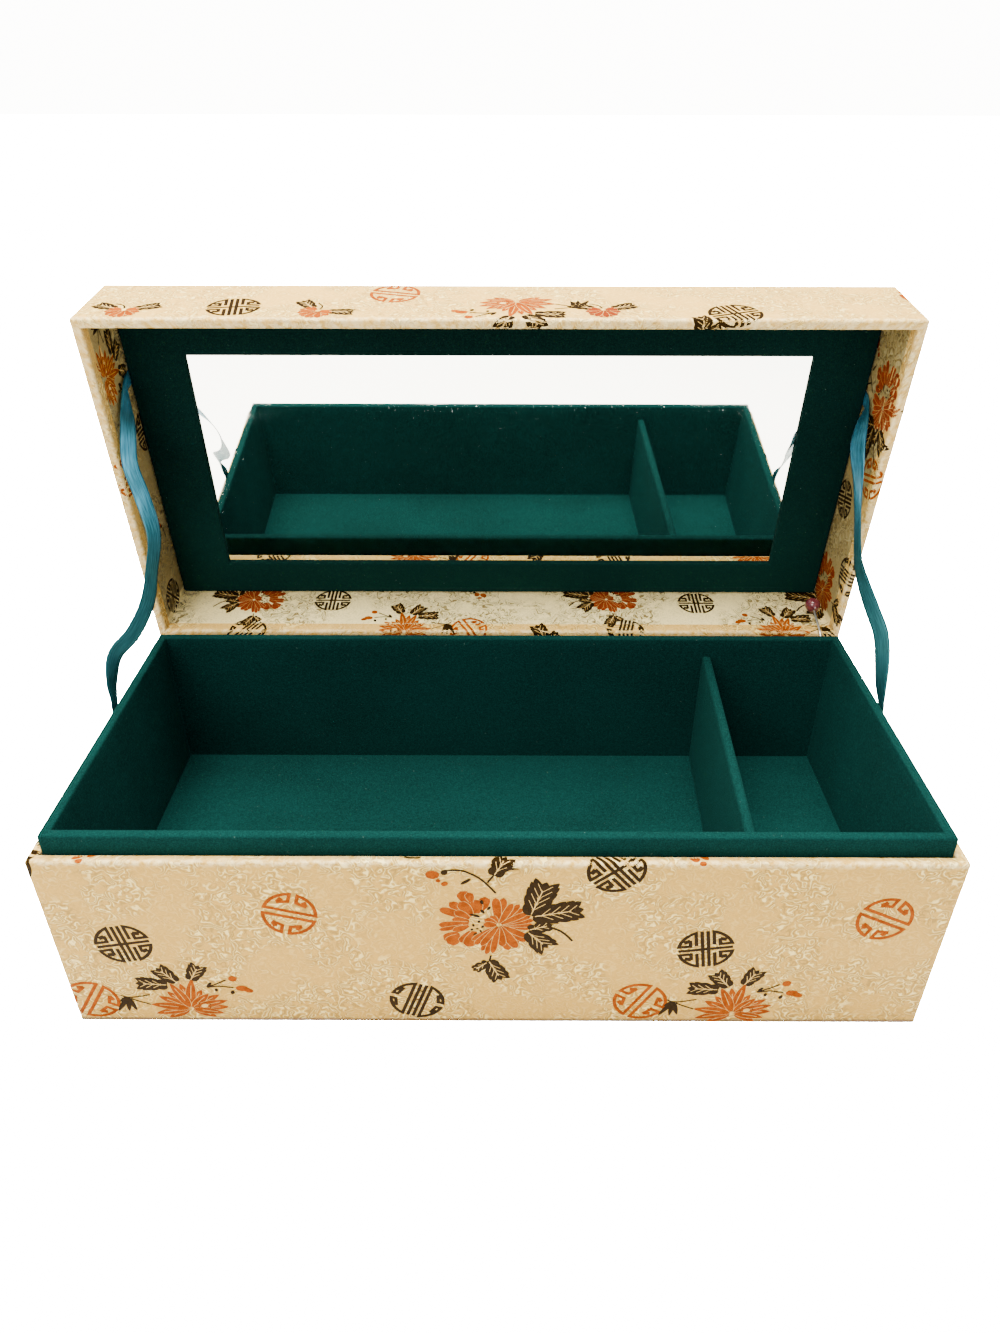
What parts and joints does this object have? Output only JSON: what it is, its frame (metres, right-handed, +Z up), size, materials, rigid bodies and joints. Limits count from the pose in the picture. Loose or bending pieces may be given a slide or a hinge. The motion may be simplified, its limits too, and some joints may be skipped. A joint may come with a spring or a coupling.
{
  "type": "musical jewellery box",
  "caption": "Oblong brocade-covered box with a tilting lid and mirror, a felt-lined divided tray, stay ribbons, and a wind-up comb movement with a lid-operated stop.",
  "frame": {"origin": "middle of the base's footprint, on the table", "axes": "+X to the right along the box's length, +Y to the back and the hinge, +Z up; the front faces -Y; stored with the lid open, as in the picture"},
  "size_m": [0.3, 0.1768, 0.2206],
  "materials": {
    "brocade": "woven silk brocade, light sheen",
    "lining": "woven silk brocade",
    "board": "grey board",
    "paper": "plain paper",
    "felt": "flocked felt",
    "ribbon": "satin",
    "mirror": "silvered glass",
    "steel": "drawn and ground",
    "brass": "satin brass",
    "bead": "polished, slightly see-through"
  },
  "bodies": {
    "base": {"front_board": "board", "back_board": "board", "left_board": "board", "right_board": "board", "bottom_board": "board", "underside_paper": "paper", "base_brocade": "brocade", "hinge_cloth_base": "brocade", "tray_walls": "felt", "tray_floor": "felt", "tray_divider": "felt", "tray_bearers": "board", "ribbon_left": "ribbon", "ribbon_right": "ribbon", "stop_bracket": "steel", "stop_pivot_pin": "steel", "bedplate": "brass", "cylinder_plate_left": "brass", "cylinder_plate_right": "brass", "barrel_bridge": "brass", "comb_block": "brass", "comb": "steel", "comb_screws": "steel", "governor_bracket": "brass", "movement_screws": "steel"},
    "lid": {"lid_front_board": "board", "lid_back_board": "board", "lid_left_board": "board", "lid_right_board": "board", "lid_top_board": "board", "lid_brocade": "brocade", "lid_lining": "lining", "hinge_cloth_lid": "brocade", "mirror_mat": "felt", "mirror_glass": "mirror", "mirror_spacer": "board", "mirror_backing": "board"},
    "stop_lever": {"stop_lever": "steel", "stop_bead": "bead"},
    "stop_wire": {"stop_wire": "steel"},
    "key": {"winding_key": "brass", "winding_arbor": "steel"},
    "barrel": {"spring_barrel": "brass", "mainspring": "steel"},
    "cylinder": {"pinned_cylinder": "brass", "cylinder_arbor": "steel", "cylinder_pinion": "steel", "cylinder_wheel": "brass"},
    "governor_wheel": {"governor_wheel": "brass"},
    "governor_fly": {"governor_fly": "steel"}
  },
  "joints": [
    {"name": "lid_hinge", "type": "hinge", "parent": "base", "child": "lid", "pos_m": [0, 0.06975, 0.0777], "axis": [-1, 0, 0], "range_deg": [-83, 6], "deforming": ["ribbon_left", "ribbon_right"]},
    {"name": "stop_lever_pivot", "type": "hinge", "parent": "base", "child": "stop_lever", "pos_m": [0.14, 0.0635, 0.08], "axis": [-1, 0, 0], "range_deg": [-70.5, 5.2]},
    {"name": "stop_wire_slide", "type": "slide", "parent": "base", "child": "stop_wire", "axis": [0, 0, 1], "range_m": [-0.00024, 0.00002]},
    {"name": "winding_key_turn", "type": "hinge", "parent": "base", "child": "key", "pos_m": [0.10115, 0.0474, 0.005], "axis": [0, 0, 1], "continuous": true},
    {"name": "barrel_turn", "type": "hinge", "parent": "base", "child": "barrel", "pos_m": [0.10115, 0.0474, 0.012], "axis": [0, 0, 1], "continuous": true},
    {"name": "cylinder_turn", "type": "hinge", "parent": "base", "child": "cylinder", "pos_m": [0.119, 0.0474, 0.0141], "axis": [1, 0, 0], "continuous": true},
    {"name": "governor_wheel_turn", "type": "hinge", "parent": "base", "child": "governor_wheel", "pos_m": [0.136, 0.0525, 0.0141], "axis": [1, 0, 0], "continuous": true},
    {"name": "fly_turn", "type": "hinge", "parent": "base", "child": "governor_fly", "pos_m": [0.14, 0.057, 0.0141], "axis": [0, 0, 1], "continuous": true}
  ],
  "couplings": [
    {"joint": "stop_lever_pivot", "follows": "lid_hinge", "ratio": 0.8482},
    {"joint": "stop_wire_slide", "follows": "lid_hinge", "m_per_rad": 0.000161},
    {"joint": "cylinder_turn", "follows": "barrel_turn", "ratio": 4},
    {"joint": "governor_wheel_turn", "follows": "barrel_turn", "ratio": -9.6},
    {"joint": "fly_turn", "follows": "barrel_turn", "ratio": -48}
  ]
}
